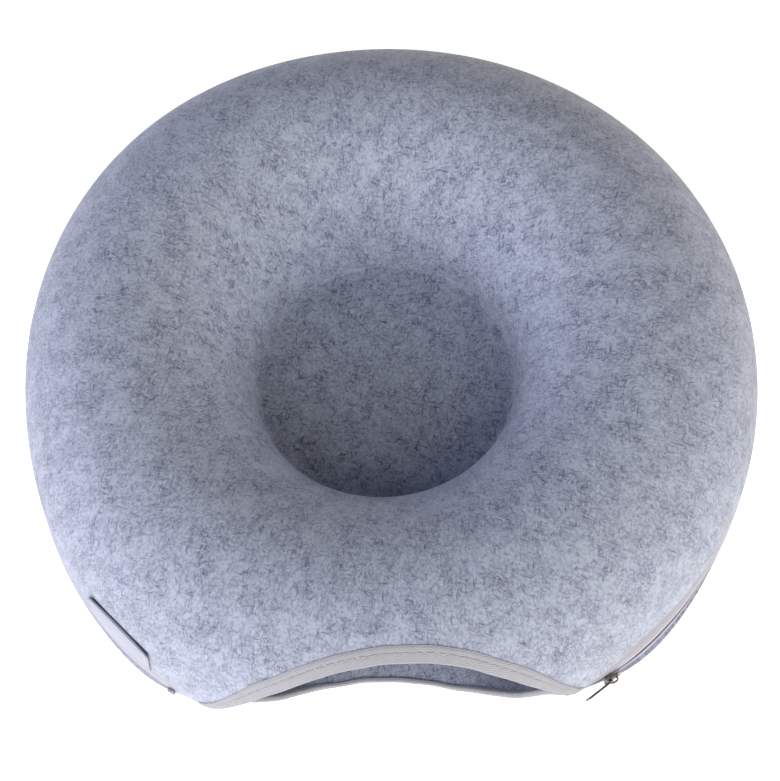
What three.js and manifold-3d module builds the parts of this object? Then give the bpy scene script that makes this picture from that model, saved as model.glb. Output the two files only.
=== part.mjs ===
// A ring-shaped cat tunnel of moulded felt. Two felt halves are zipped together round the outside,
// a bound opening at the front leads into the hollow ring, and the middle is a shallow dish.
// Millimetres, +Z up. The opening faces -Y and the ring stands on z = 0.

import * as THREE from 'three';
import { LoftGeometry } from 'three/addons/geometries/LoftGeometry.js';
import { mergeVertices } from 'three/addons/utils/BufferGeometryUtils.js';
import Module from 'manifold-3d';

// Sizes of the ring
const OUTER_RADIUS = 250;
const HEIGHT = 200;
const TUBE_WIDTH = 162;
const FELT = 4;
const GAP = 0.3;
const FACET_GAP = 0.8;

// The lower half sags: its full curve would reach this far below the floor, and is pressed flat there
const SAG = 8;
const SAG_ROUNDING = 4;

// The dish: the ring's inner wall turns into a flat floor at half height
const DISH_TURN_START = 11;
const DISH_TURN_WIDTH = 6;
const DISH_TURN_STEPS = 4;

// The opening, as angles round the ring from -Y and up or down the tube's section from its outside
const OPENING_HALF_WIDTH = 27.5;
const UPPER_CUT = { angle: 56.8, power: 2, root: 1, skew: 0.07 };
const LOWER_CUT = { angle: 77.5, power: 2.4, root: 0.5, skew: 0 };
const LIP_LIFT = 2.2;

// Binding tape folded over the opening's edges
const BINDING_WIDTH = 13;
const BINDING_TAPE = 1.2;
const BINDING_GAP = 0.5;

// Zip: the felt ends this far above and below the zip's middle, and the tapes are sewn behind it
const SEAM_HALF = 12;
const ZIP_TAPE = 1.2;
const ZIP_TAPE_TOP = 20;
const ZIP_END_COLUMNS = [28, 30, 31.5, 33, 35, 36.8];
const ZIP_TAPE_NARROW = { from: 31.5, to: 33 };
const ZIP_TAPE_DEPTH = 3;
const ZIP_SLIT_HALF = 0.6;
const ZIP_PARTED_HALF = 5;
const ZIP_PARTED_FROM = 36;
const CHAIN = { halfWidth: 2.2, thickness: 1.8, from: 36.8, to: 330 };

// Zip slider, pull and stop
const SLIDER_AZIMUTH = 35;
const SLIDER = { length: 12, width: 9, plate: 1.4, webLength: 2.5, webWidth: 2 };
const CROWN = { length: 8, top: 5.6, bar: 1.3, width: 2 };
const PULL = { length: 22, width: 7, thickness: 1.2, eyeLength: 4, eyeWidth: 3.4, rim: 1.5, tilt: 12 };
const STOP = { azimuth: -33.5, length: 5, width: 7, thickness: 1.8 };

// Label, sewn in at the upper half's edge and lying on the felt
const LABEL = { from: -51, to: -38, bottom: 7.4, top: 22.8, thickness: 1 };

// Fineness of the facets
const OPENING_COLUMNS = 24;
const CORNER_TURN = 86.3;
const RING_COLUMNS = 40;
const CORNER_COLUMN = 31;
const EDGE_ROWS = 2;
const EDGE_ROW_ANGLE = 4.5;
const TUBE_ROWS = 13;
const LABEL_COLUMNS = 7;
const LABEL_ROWS = 4;

const MID = HEIGHT / 2;
const TUBE_RADIUS = TUBE_WIDTH / 2;
const RING_RADIUS = OUTER_RADIUS - TUBE_RADIUS;
const SEAM_ANGLE = THREE.MathUtils.radToDeg(Math.asin(SEAM_HALF / MID));
const DISH_ANGLE = 180 - THREE.MathUtils.radToDeg(Math.asin(DISH_TURN_START / MID));
const UPPER = 1;
const LOWER = -1;

const rad = THREE.MathUtils.degToRad;
const smooth = THREE.MathUtils.smoothstep;

// Height of the tube's outside above or below mid height, at an angle round its section.
function tubeRise(half, angle) {
  const sine = Math.sin(rad(angle));
  if (half === UPPER) return MID * sine;
  const full = (MID + SAG) * sine;
  const over = full - (MID - SAG_ROUNDING);
  if (over <= 0) return full;
  const left = Math.max(0, 2 * SAG_ROUNDING - over);
  return MID - left ** 2 / (4 * SAG_ROUNDING);
}

// How far round the ring a place is from the front, in degrees.
function fromFront(azimuth) {
  return Math.abs(THREE.MathUtils.euclideanModulo(azimuth + 180, 360) - 180);
}

// The lower half's lip is lifted a little at the opening, so that the binding under it clears the floor.
function lipLift(half, azimuth, angle) {
  if (half === UPPER) return 0;
  const along = 1 - smooth(fromFront(azimuth), OPENING_HALF_WIDTH - 2, OPENING_HALF_WIDTH + 8);
  const across = smooth(angle, 45, 70) * (1 - smooth(angle, 92, 118));
  return LIP_LIFT * along * across;
}

// A point of the tube's section, as radius and height, offset along its normal.
function sectionPoint(half, azimuth, angle, offset) {
  const at = (a) => new THREE.Vector2(
    RING_RADIUS + TUBE_RADIUS * Math.cos(rad(a)),
    half * (tubeRise(half, a) - lipLift(half, azimuth, a)),
  );
  const along = at(angle + 0.5).sub(at(angle - 0.5)).normalize();
  const outward = new THREE.Vector2(along.y, -along.x).multiplyScalar(half);
  return at(angle).addScaledVector(outward, offset);
}

// Turns a section point to its place round the ring. Azimuth 0 is -Y, and grows towards +X.
function placed(azimuth, point) {
  const turn = rad(azimuth);
  return new THREE.Vector3(point.x * Math.sin(turn), -point.x * Math.cos(turn), MID + point.y);
}

function surfacePoint(half, azimuth, angle, offset) {
  return placed(azimuth, sectionPoint(half, azimuth, angle, offset));
}

// Angle on the tube's section at which a half's felt ends: the seam, or the opening's cut.
function edgeAngle(half, azimuth) {
  const cut = half === UPPER ? UPPER_CUT : LOWER_CUT;
  const along = THREE.MathUtils.clamp(azimuth / OPENING_HALF_WIDTH, -1, 1);
  const skewed = along - cut.skew * (1 - along ** 2);
  const open = Math.max(0, 1 - Math.abs(skewed) ** cut.power) ** cut.root;
  return SEAM_ANGLE + (cut.angle - SEAM_ANGLE) * open;
}

// Azimuths of the felt's columns: close together at the opening's corners, even round the ring.
const openingTurns = Array.from({ length: OPENING_COLUMNS + 1 }, (_, i) => (180 * i) / OPENING_COLUMNS - 90);
openingTurns.splice(1, 0, -CORNER_TURN);
openingTurns.splice(-1, 0, CORNER_TURN);
const openingAzimuths = openingTurns.map((turn) => OPENING_HALF_WIDTH * Math.sin(rad(turn)));
const closedAzimuths = [];
for (let i = 0; i <= RING_COLUMNS; i++) {
  closedAzimuths.push(CORNER_COLUMN + ((360 - 2 * CORNER_COLUMN) * i) / RING_COLUMNS);
}
const ringAzimuths = [...openingAzimuths, ...closedAzimuths, 360 - OPENING_HALF_WIDTH];

// Section through a felt half at one azimuth: along its outside from the edge to the ring's axis,
// and back along its inside.
function feltSection(half, azimuth) {
  const edge = edgeAngle(half, azimuth);
  const angles = [];
  for (let row = 0; row < EDGE_ROWS; row++) angles.push(edge + row * EDGE_ROW_ANGLE);
  const start = edge + EDGE_ROWS * EDGE_ROW_ANGLE;
  for (let row = 0; row <= TUBE_ROWS; row++) {
    angles.push(THREE.MathUtils.lerp(start, DISH_ANGLE, row / TUBE_ROWS));
  }
  const side = (offset) => {
    const points = angles.map((angle) => sectionPoint(half, azimuth, angle, offset));
    const last = points.at(-1);
    const floor = half * (FELT + GAP / 2 + offset);
    const turnEnd = RING_RADIUS - TUBE_RADIUS - DISH_TURN_WIDTH;
    const turn = new THREE.QuadraticBezierCurve(
      last,
      new THREE.Vector2(last.x - 0.5, floor),
      new THREE.Vector2(turnEnd, floor),
    );
    points.push(...turn.getPoints(DISH_TURN_STEPS).slice(1));
    points.push(new THREE.Vector2(0, floor));
    return points;
  };
  const loop = [...side(0), ...side(-FELT).reverse()];
  return loop.map((point) => placed(azimuth, point));
}

// Splits a loft's four-sided facets along their shorter diagonals, so that slanting ones follow the curve.
function splitShort(loft, facets) {
  const position = loft.getAttribute('position');
  const corner = (vertex) => new THREE.Vector3().fromBufferAttribute(position, vertex);
  const index = loft.index.array;
  for (let at = 0; at < 6 * facets; at += 6) {
    const [a, b, d, , c] = index.slice(at, at + 6);
    if (corner(a).distanceTo(corner(c)) < corner(b).distanceTo(corner(d))) {
      index.set([a, b, c, a, c, d], at);
    }
  }
  return loft;
}

// A loft whose sections run round the ring. Mirrored halves have their sections turned about.
function ringLoft(sections, half, capped) {
  const facing = half === UPPER ? sections.map((section) => [...section].reverse()) : sections;
  const loft = new LoftGeometry(facing, { capStart: capped, capEnd: capped });
  return splitShort(loft, (sections.length - 1) * sections[0].length);
}

function feltHalf(half) {
  return ringLoft(ringAzimuths.map((azimuth) => feltSection(half, azimuth)), half, false);
}

// Directions on the surface at the opening's edge: how azimuth and angle change per millimetre
// away from the edge into the felt. At the corners the tape is trimmed along the seam.
function inwardSteps(half, index) {
  const azimuth = openingAzimuths[index];
  const edge = edgeAngle(half, azimuth);
  const side = Math.sign(azimuth);
  const here = surfacePoint(half, azimuth, edge, 0);
  const perAzimuth = surfacePoint(half, azimuth + 0.5, edge, 0).distanceTo(here) * 2;
  const perAngle = surfacePoint(half, azimuth, edge + 0.5, 0).distanceTo(here) * 2;
  const trimmed = index === 0 || index === openingAzimuths.length - 1;
  if (trimmed) return { azimuth: side / perAzimuth, angle: 0 };
  const before = openingAzimuths[index - 1];
  const after = openingAzimuths[index + 1];
  const run = (after - before) * perAzimuth;
  const climb = (edgeAngle(half, after) - edgeAngle(half, before)) * perAngle;
  const length = Math.hypot(run, climb);
  return { azimuth: -climb / length / perAzimuth, angle: run / length / perAngle };
}

// The folded tape's section: distance from the felt's edge into the felt, and height off its outside.
const BINDING_OUT = BINDING_GAP + BINDING_TAPE;
const BINDING_IN = -FELT - FACET_GAP;
const BINDING_BACK = BINDING_IN - BINDING_TAPE;
const BINDING_SECTION = [
  [-FACET_GAP, BINDING_GAP],
  [-FACET_GAP, BINDING_IN],
  [BINDING_WIDTH / 2, BINDING_IN],
  [BINDING_WIDTH, BINDING_IN],
  [BINDING_WIDTH, BINDING_BACK],
  [BINDING_WIDTH / 2, BINDING_BACK],
  [0, BINDING_BACK],
  [-FACET_GAP - BINDING_TAPE, -FELT],
  [-FACET_GAP - BINDING_TAPE, 0],
  [0, BINDING_OUT],
  [BINDING_WIDTH / 2, BINDING_OUT],
  [BINDING_WIDTH, BINDING_OUT],
  [BINDING_WIDTH, BINDING_GAP],
  [BINDING_WIDTH / 2, BINDING_GAP],
];

function binding(half) {
  const sections = openingAzimuths.map((azimuth, index) => {
    const step = inwardSteps(half, index);
    const edge = edgeAngle(half, azimuth);
    return BINDING_SECTION.map(([inward, offset]) => surfacePoint(
      half,
      azimuth + step.azimuth * inward,
      edge + step.angle * inward,
      offset,
    ));
  });
  return ringLoft(sections, half, true);
}

// Azimuths along the zip, from the opening's right corner round the back to its left corner.
const farEnd = ZIP_END_COLUMNS.map((azimuth) => 360 - azimuth).reverse();
const inside = closedAzimuths.filter((azimuth) => azimuth > 37 && azimuth < 323);
const zipAzimuths = [...ZIP_END_COLUMNS, ...inside, ...farEnd];

const angleAtHeight = (height) => THREE.MathUtils.radToDeg(Math.asin(height / MID));

// One zip tape: it comes out from behind the felt and ends at the slit, which parts past the slider.
function zipTape(half) {
  const sections = zipAzimuths.map((azimuth) => {
    const parted = 1 - smooth(azimuth, zipAzimuths[0], ZIP_PARTED_FROM);
    const slit = THREE.MathUtils.lerp(ZIP_SLIT_HALF, ZIP_PARTED_HALF, parted);
    const wide = smooth(fromFront(azimuth), ZIP_TAPE_NARROW.from, ZIP_TAPE_NARROW.to);
    const behind = THREE.MathUtils.lerp(SEAM_HALF - 2 * GAP, ZIP_TAPE_TOP, wide);
    const rows = [
      { height: slit, depth: ZIP_TAPE_DEPTH },
      { height: SEAM_HALF - 3 * GAP, depth: FELT + FACET_GAP },
      { height: behind, depth: FELT + FACET_GAP },
    ];
    const face = (extra) => rows.map((row) => surfacePoint(
      half,
      azimuth,
      angleAtHeight(row.height),
      -row.depth - extra,
    ));
    return [...face(0), ...face(ZIP_TAPE).reverse()];
  });
  return ringLoft(sections, half, true);
}

// The coil behind the slit, from the slider to the zip's closed end.
function zipChain() {
  const front = OUTER_RADIUS - ZIP_TAPE_DEPTH - ZIP_TAPE - 2 * GAP;
  const back = front - CHAIN.thickness;
  const corners = [
    new THREE.Vector2(front, CHAIN.halfWidth),
    new THREE.Vector2(front, -CHAIN.halfWidth),
    new THREE.Vector2(back, -CHAIN.halfWidth),
    new THREE.Vector2(back, CHAIN.halfWidth),
  ];
  const covered = zipAzimuths.filter((azimuth) => azimuth >= CHAIN.from && azimuth <= CHAIN.to);
  const sections = covered.map((azimuth) => corners.map((corner) => placed(azimuth, corner)));
  return ringLoft(sections, LOWER, true);
}

// The label: a flat strip bent to the felt's outside.
function labelStrip() {
  const sections = [];
  for (let column = 0; column <= LABEL_COLUMNS; column++) {
    const azimuth = THREE.MathUtils.lerp(LABEL.from, LABEL.to, column / LABEL_COLUMNS);
    const face = (offset) => Array.from({ length: LABEL_ROWS + 1 }, (_, row) => surfacePoint(
      UPPER,
      azimuth,
      THREE.MathUtils.lerp(LABEL.bottom, LABEL.top, row / LABEL_ROWS),
      offset,
    ));
    sections.push([...face(GAP + LABEL.thickness), ...face(GAP).reverse()]);
  }
  return ringLoft(sections, UPPER, true);
}

const wasm = await Module();
wasm.setup();

function toSolid(geometry) {
  const bare = geometry.clone();
  bare.deleteAttribute('normal');
  bare.deleteAttribute('uv');
  const merged = mergeVertices(bare, 1e-4);
  return new wasm.Manifold(new wasm.Mesh({
    numProp: 3,
    vertProperties: merged.attributes.position.array,
    triVerts: new Uint32Array(merged.index.array),
  }));
}

// Joins overlapping geometries into one closed body.
function joined(geometries) {
  const mesh = geometries.map(toSolid).reduce((whole, next) => whole.add(next)).getMesh();
  const geometry = new THREE.BufferGeometry();
  geometry.setAttribute('position', new THREE.BufferAttribute(mesh.vertProperties, 3));
  geometry.setIndex(new THREE.BufferAttribute(mesh.triVerts, 1));
  geometry.computeVertexNormals();
  return geometry;
}

function roundedOutline(width, height, radius) {
  const shape = new THREE.Shape();
  const x = width / 2;
  const y = height / 2;
  shape.moveTo(-x + radius, -y);
  shape.lineTo(x - radius, -y);
  shape.absarc(x - radius, -y + radius, radius, -Math.PI / 2, 0);
  shape.lineTo(x, y - radius);
  shape.absarc(x - radius, y - radius, radius, 0, Math.PI / 2);
  shape.lineTo(-x + radius, y);
  shape.absarc(-x + radius, y - radius, radius, Math.PI / 2, Math.PI);
  shape.lineTo(-x, -y + radius);
  shape.absarc(-x + radius, -y + radius, radius, Math.PI, Math.PI * 1.5);
  return shape;
}

function extruded(shape, depth) {
  return new THREE.ExtrudeGeometry(shape, { depth, bevelEnabled: false, curveSegments: 5 });
}

// The slider, with x along the zip away from the opening, y up and z away from the tape's face at z = 0.
// Two plates hold the tapes, a web between them parts the tapes, and a crown carries the pull.
function sliderBody() {
  const backFace = -ZIP_TAPE - 2 * FACET_GAP;
  const outline = roundedOutline(SLIDER.length, SLIDER.width, 2.5);
  const outer = extruded(outline, SLIDER.plate).translate(0, 0, GAP);
  const inner = extruded(outline, SLIDER.plate).translate(0, 0, backFace - SLIDER.plate);
  const web = new THREE.BoxGeometry(SLIDER.webLength, SLIDER.webWidth, SLIDER.plate - backFace);
  web.translate(-SLIDER.length / 2 + SLIDER.webLength, 0, backFace / 2);
  const base = GAP + SLIDER.plate / 2;
  const rise = CROWN.top - base;
  const arch = roundedOutline(CROWN.length, rise, 1.4);
  const foot = SLIDER.plate / 2;
  const eyeHeight = rise - CROWN.bar - foot;
  const eye = roundedOutline(CROWN.length - 2 * CROWN.bar, eyeHeight, 0.6).getPoints(3);
  const eyeShift = new THREE.Vector2(0, (foot - CROWN.bar) / 2);
  arch.holes.push(new THREE.Path(eye.map((point) => point.add(eyeShift))));
  const crown = extruded(arch, CROWN.width).translate(0, rise / 2, -CROWN.width / 2).rotateX(Math.PI / 2);
  crown.translate(0, 0, base);
  return joined([outer, web, inner, crown]);
}

// The pull, with its pin at the origin and its blade along -x.
function pullBlade() {
  const blade = roundedOutline(PULL.length, PULL.width, 2);
  const eye = roundedOutline(PULL.eyeLength, PULL.eyeWidth, 0.6).getPoints(3);
  const eyeShift = new THREE.Vector2(PULL.length / 2 - PULL.rim - PULL.eyeLength / 2, 0);
  blade.holes.push(new THREE.Path(eye.map((point) => point.add(eyeShift))));
  const geometry = extruded(blade, PULL.thickness);
  return geometry.translate(PULL.rim / 2 - PULL.length / 2, 0, -PULL.thickness / 2);
}

const MATERIALS = {
  felt: { color: 0xa9acbd, roughness: 0.95, metalness: 0 },
  binding: { color: 0xcfcccb, roughness: 0.85, metalness: 0 },
  zipTape: { color: 0xb9b6c8, roughness: 0.8, metalness: 0 },
  coil: { color: 0x55525c, roughness: 0.6, metalness: 0 },
  nickel: { color: 0xa79f9a, roughness: 0.3, metalness: 1 },
  label: { color: 0xd3d4de, roughness: 0.8, metalness: 0 },
};

function piece(name, geometry, material) {
  const mesh = new THREE.Mesh(geometry, new THREE.MeshStandardMaterial(MATERIALS[material]));
  mesh.name = name;
  return mesh;
}

// A group on the zip's line, with x along the zip, y up and z outward from the tape's face.
function onZip(azimuth) {
  const group = new THREE.Group();
  const turn = rad(azimuth);
  const along = new THREE.Vector3(Math.cos(turn), Math.sin(turn), 0);
  const up = new THREE.Vector3(0, 0, 1);
  const out = new THREE.Vector3(Math.sin(turn), -Math.cos(turn), 0);
  group.setRotationFromMatrix(new THREE.Matrix4().makeBasis(along, up, out));
  group.position.copy(out).multiplyScalar(OUTER_RADIUS - ZIP_TAPE_DEPTH).setZ(MID);
  return group;
}

const ring = new THREE.Group();
ring.add(piece('upper_felt', feltHalf(UPPER), 'felt'));
ring.add(piece('lower_felt', feltHalf(LOWER), 'felt'));
ring.add(piece('binding_upper', binding(UPPER), 'binding'));
ring.add(piece('binding_lower', binding(LOWER), 'binding'));
ring.add(piece('zip_tape_upper', zipTape(UPPER), 'zipTape'));
ring.add(piece('zip_tape_lower', zipTape(LOWER), 'zipTape'));
ring.add(piece('zip_chain', zipChain(), 'coil'));
ring.add(piece('label', labelStrip(), 'label'));

const sliderPlace = onZip(SLIDER_AZIMUTH);
const pull = piece('zip_pull', pullBlade(), 'nickel');
pull.position.set(-PULL.rim * 0.8, 0, (GAP + SLIDER.plate + CROWN.top - CROWN.bar) / 2);
pull.rotation.y = rad(PULL.tilt);
sliderPlace.add(piece('zip_slider', sliderBody(), 'nickel'), pull);
ring.add(sliderPlace);

const stopPlace = onZip(STOP.azimuth);
const stop = extruded(roundedOutline(STOP.length, STOP.width, 1.2), STOP.thickness);
stopPlace.add(piece('zip_stop', stop.translate(0, 0, GAP), 'zipTape'));
ring.add(stopPlace);

// The ring's opening makes it shorter front to back, so it is moved until the origin lies under the
// middle of its box.
const box = new THREE.Box3().setFromObject(ring);
ring.position.set(0, -(box.min.y + box.max.y) / 2, -box.min.z);

const tunnel = new THREE.Group();
tunnel.add(ring);

export default tunnel;
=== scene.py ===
"""Dresses the ring-shaped felt cat tunnel: two moulded halves, a bound opening, a zip and a bare label.

Metres, +Z up, the opening towards -Y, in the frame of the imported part.
"""

import math

import bmesh
import bpy
import numpy as np
from mathutils import Matrix, Vector


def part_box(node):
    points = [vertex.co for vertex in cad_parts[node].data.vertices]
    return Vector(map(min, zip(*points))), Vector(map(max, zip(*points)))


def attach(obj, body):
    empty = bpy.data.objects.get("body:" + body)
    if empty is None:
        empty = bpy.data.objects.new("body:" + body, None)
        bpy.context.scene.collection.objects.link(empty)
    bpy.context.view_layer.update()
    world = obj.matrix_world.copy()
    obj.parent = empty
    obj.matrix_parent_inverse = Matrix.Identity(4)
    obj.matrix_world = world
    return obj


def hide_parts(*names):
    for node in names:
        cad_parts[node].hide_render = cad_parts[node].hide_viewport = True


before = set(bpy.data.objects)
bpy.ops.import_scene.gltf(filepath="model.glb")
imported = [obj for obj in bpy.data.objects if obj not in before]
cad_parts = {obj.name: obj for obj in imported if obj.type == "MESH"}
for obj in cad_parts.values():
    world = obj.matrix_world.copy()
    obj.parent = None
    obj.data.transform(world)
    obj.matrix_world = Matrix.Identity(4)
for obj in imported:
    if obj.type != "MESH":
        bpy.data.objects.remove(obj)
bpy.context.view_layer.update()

MM = 0.001
UPPER = 1
LOWER = -1

# Sizes of the ring, as in the solids but for a sharper turn at the edge of the dish's floor
OUTER_RADIUS = 250 * MM
HEIGHT = 200 * MM
TUBE_WIDTH = 162 * MM
FELT = 4 * MM
SAG = 8 * MM
SAG_ROUNDING = 4 * MM
DISH_TURN_START = 7 * MM
DISH_TURN_WIDTH = 2.5 * MM
DISH_TURN_CORNER = 0.5 * MM
DISH_GAP = 0.15 * MM

# The opening: angles round the ring from -Y, and on the tube's section from its outside
OPENING_HALF_WIDTH = 27.5
CUTS = {
    UPPER: {"angle": 57.9, "power": 2.25, "root": 1.0, "skew": 0.07},
    LOWER: {"angle": 78.2, "power": 2.16, "root": 0.64, "skew": -0.07},
}
CORNER_ROUNDING = {"left": 0.1, "right": 0.03}
CORNER_BLEND = 0.8
LIP_LIFT = 2.2 * MM
LIP_FADE = (OPENING_HALF_WIDTH - 2, OPENING_HALF_WIDTH + 8)
LIP_RISE = (45, 70)
LIP_FALL = (92, 118)
SEAM_HALF = 12 * MM

# The binding presses the felt thinner along the opening: how far from its two sides, how wide a strip,
# and where that ends at the opening's corners
PRESSED_OUT = 0.7 * MM
PRESSED_IN = 1.2 * MM
PRESSED_REACH = 8 * MM
PRESSED_FADE = (OPENING_HALF_WIDTH - 1.5, OPENING_HALF_WIDTH + 2.5)

# Soft felt is a little out of round: where, over how many degrees, and how far outward
SWELLS = [
    {"azimuth": -80, "width": 22, "out": -4.0 * MM},
    {"azimuth": -134, "width": 24, "out": 3.6 * MM},
    {"azimuth": 177, "width": 24, "out": -3.2 * MM},
    {"azimuth": 152, "width": 20, "out": -1.4 * MM},
    {"azimuth": 104, "width": 22, "out": 1.3 * MM},
]
SWELL_FADE = (50, 150)

# The lower lip is drawn in beside the opening's corners
TUCKS = [
    {"azimuth": -25, "width": 12, "out": -8.5 * MM},
    {"azimuth": 25, "width": 12, "out": -8.0 * MM},
]
TUCK_RISE = (0, 30)
TUCK_FALL = (60, 100)

# Beside the opening the zip rolls upward: the upper half's edge is drawn in, the lower one stands out,
# and at the opening's corners the lower half is tucked under
ROLLS = [
    {"azimuth": 41, "width": 14, "upper": -4.2 * MM, "lower": 3.6 * MM},
    {"azimuth": 27, "width": 8, "upper": 0.0 * MM, "lower": -7.0 * MM},
    {"azimuth": -27, "width": 8, "upper": 1.6 * MM, "lower": -7.0 * MM},
    {"azimuth": -36, "width": 10, "upper": 0.0 * MM, "lower": 3.0 * MM},
    {"azimuth": -55, "width": 25, "upper": -0.6 * MM, "lower": 3.0 * MM},
]
ROLL_FADE = (10, 55)

MID = HEIGHT / 2
TUBE_RADIUS = TUBE_WIDTH / 2
RING_RADIUS = OUTER_RADIUS - TUBE_RADIUS
SEAM_ANGLE = math.degrees(math.asin(SEAM_HALF / MID))
DISH_ANGLE = 180 - math.degrees(math.asin(DISH_TURN_START / MID))
DISH_TURN_END = RING_RADIUS - TUBE_RADIUS - DISH_TURN_WIDTH

# Degrees to the next place, where a slope is measured
SLOPE_STEP = 0.5

# The ring's axis, from the felt's own box in the frame
SEAM_RADIUS = RING_RADIUS + TUBE_RADIUS * math.cos(math.radians(SEAM_ANGLE))
AXIS_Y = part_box("upper_felt")[1].y - SEAM_RADIUS
RING_CENTRE = Vector((0, AXIS_Y, MID))


def smooth(value, low, high):
    """0 below low, 1 above high, and a soft step between."""
    share = np.clip((np.asarray(value, float) - low) / (high - low), 0, 1)
    return share * share * (3 - 2 * share)


def wrapped(azimuth):
    """Degrees round the ring from the front, from -180 to 180."""
    return (np.asarray(azimuth, float) + 180) % 360 - 180


def tube_rise(half, angle):
    """Height of the tube's outside above or below mid height."""
    sine = np.sin(np.radians(angle))
    if half == UPPER:
        return MID * sine
    full = (MID + SAG) * sine
    over = full - (MID - SAG_ROUNDING)
    left = np.maximum(0, 2 * SAG_ROUNDING - over)
    return np.where(over <= 0, full, MID - left**2 / (4 * SAG_ROUNDING))


def lip_lift(half, azimuth, angle):
    """The lower lip is lifted a little at the opening, so that its binding clears the floor."""
    if half == UPPER:
        return 0.0
    along = 1 - smooth(np.abs(wrapped(azimuth)), *LIP_FADE)
    across = smooth(angle, *LIP_RISE) * (1 - smooth(angle, *LIP_FALL))
    return LIP_LIFT * along * across


def summed(places, azimuth, column):
    """One column of the places' soft steps outward, added at an angle round the ring."""
    return sum(
        place[column] * np.exp(-((wrapped(azimuth - place["azimuth"]) / place["width"]) ** 2))
        for place in places
    )


def out_of_round(half, azimuth, angle):
    """How far the tube's outer side swells and rolls, fading out over its crown."""
    swell = summed(SWELLS, azimuth, "out") * (1 - smooth(angle, *SWELL_FADE))
    raised = smooth(half * angle, -SEAM_ANGLE, SEAM_ANGLE)
    lower = summed(ROLLS, azimuth, "lower")
    roll = lower + (summed(ROLLS, azimuth, "upper") - lower) * raised
    swell = swell + roll * (1 - smooth(angle, *ROLL_FADE))
    if half == UPPER:
        return swell
    tucked = smooth(angle, *TUCK_RISE) * (1 - smooth(angle, *TUCK_FALL))
    return swell + summed(TUCKS, azimuth, "out") * tucked


def section_at(half, azimuth, angle):
    """Radius and signed height of the tube's outside."""
    swell = out_of_round(half, azimuth, angle)
    radius = RING_RADIUS + TUBE_RADIUS * np.cos(np.radians(angle)) + swell
    rise = tube_rise(half, angle) - lip_lift(half, azimuth, angle)
    return radius, half * rise


def section_point(half, azimuth, angle, offset):
    """Radius and signed height at an offset along the outside's normal."""
    r0, z0 = section_at(half, azimuth, angle - SLOPE_STEP)
    r1, z1 = section_at(half, azimuth, angle + SLOPE_STEP)
    length = np.hypot(r1 - r0, z1 - z0)
    out_r = half * (z1 - z0) / length
    out_z = -half * (r1 - r0) / length
    radius, height = section_at(half, azimuth, angle)
    return radius + offset * out_r, height + offset * out_z


def placed(azimuth, radius, height):
    """A section's point turned to its place round the ring, with height from mid height."""
    turn = np.radians(azimuth)
    x = radius * np.sin(turn)
    y = AXIS_Y - radius * np.cos(turn)
    return np.stack(np.broadcast_arrays(x, y, MID + height), axis=-1)


def surface(half, azimuth, angle, offset):
    """Points on a half, at angles round the ring and on its section, an offset off the outside."""
    azimuth, angle, offset = np.broadcast_arrays(azimuth, angle, offset)
    return placed(azimuth, *section_point(half, azimuth, angle, offset))


def edge_angle(half, azimuth):
    """Angle on the section at which a half's felt ends: the seam, or the opening's cut."""
    cut = CUTS[half]
    along = np.clip(wrapped(azimuth) / OPENING_HALF_WIDTH, -2, 2)
    skewed = along - cut["skew"] * np.maximum(0, 1 - along**2)
    inside = 1 - np.abs(skewed) ** cut["power"]
    if half == UPPER:
        to_right = smooth(along, -CORNER_BLEND, CORNER_BLEND)
        rounding = CORNER_ROUNDING["left"] * (1 - to_right) + CORNER_ROUNDING["right"] * to_right
        inside = (inside + np.hypot(inside, rounding)) / 2
    opened = np.maximum(0, inside) ** cut["root"]
    return SEAM_ANGLE + (cut["angle"] - SEAM_ANGLE) * opened


def pressed(inward):
    """Share of the binding's press that is left at a distance from the opening's edge."""
    return np.exp(-((inward / PRESSED_REACH) ** 2))


def arc_per_degree(angle):
    """Length on the section for one degree of its angle."""
    turn = np.radians(angle)
    return math.radians(1) * np.hypot(TUBE_RADIUS * np.sin(turn), MID * np.cos(turn))


# Meshes

def grid_faces(columns, rows, around, closed):
    """Four-sided faces of a grid whose points run row by row within each column."""
    last_column = columns if around else columns - 1
    last_row = rows if closed else rows - 1
    column, row = np.meshgrid(np.arange(last_column), np.arange(last_row), indexing="ij")
    next_column = (column + 1) % columns
    next_row = (row + 1) % rows
    corners = [(column, row), (next_column, row), (next_column, next_row), (column, next_row)]
    return np.stack([c * rows + r for c, r in corners], axis=-1).reshape(-1, 4).tolist()


def loft(points, around=False):
    """Points and faces of a tube of closed sections, with its two ends closed unless it goes around."""
    columns, rows = points.shape[:2]
    faces = grid_faces(columns, rows, around, True)
    if not around:
        faces.append(list(range(rows))[::-1])
        faces.append([(columns - 1) * rows + row for row in range(rows)])
    return points.reshape(-1, 3), faces


def joined(shells):
    """Several shells' points and faces as one."""
    points = []
    faces = []
    for shell_points, shell_faces in shells:
        start = sum(len(part) for part in points)
        points.append(shell_points)
        faces += [[start + corner for corner in face] for face in shell_faces]
    return np.concatenate(points), faces


def mesh_piece(name, shell, places, material):
    """A smooth mesh that faces outward, with each point's place on the flat cloth as its UV."""
    points, faces = shell
    mesh = bpy.data.meshes.new(name)
    mesh.from_pydata(np.asarray(points, float).tolist(), [], faces)
    if places is not None:
        layer = mesh.uv_layers.new(name="flat_cloth")
        corner = np.zeros(len(mesh.loops), np.int32)
        mesh.loops.foreach_get("vertex_index", corner)
        flat = np.asarray(places, np.float32).reshape(-1, 2)[corner]
        layer.uv.foreach_set("vector", flat.ravel())
    outward = bmesh.new()
    outward.from_mesh(mesh)
    bmesh.ops.recalc_face_normals(outward, faces=outward.faces)
    outward.to_mesh(mesh)
    outward.free()
    mesh.shade_smooth()
    piece = bpy.data.objects.new(name, mesh)
    bpy.context.scene.collection.objects.link(piece)
    piece.data.materials.append(material)
    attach(piece, "root")
    return piece


# Materials

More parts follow.
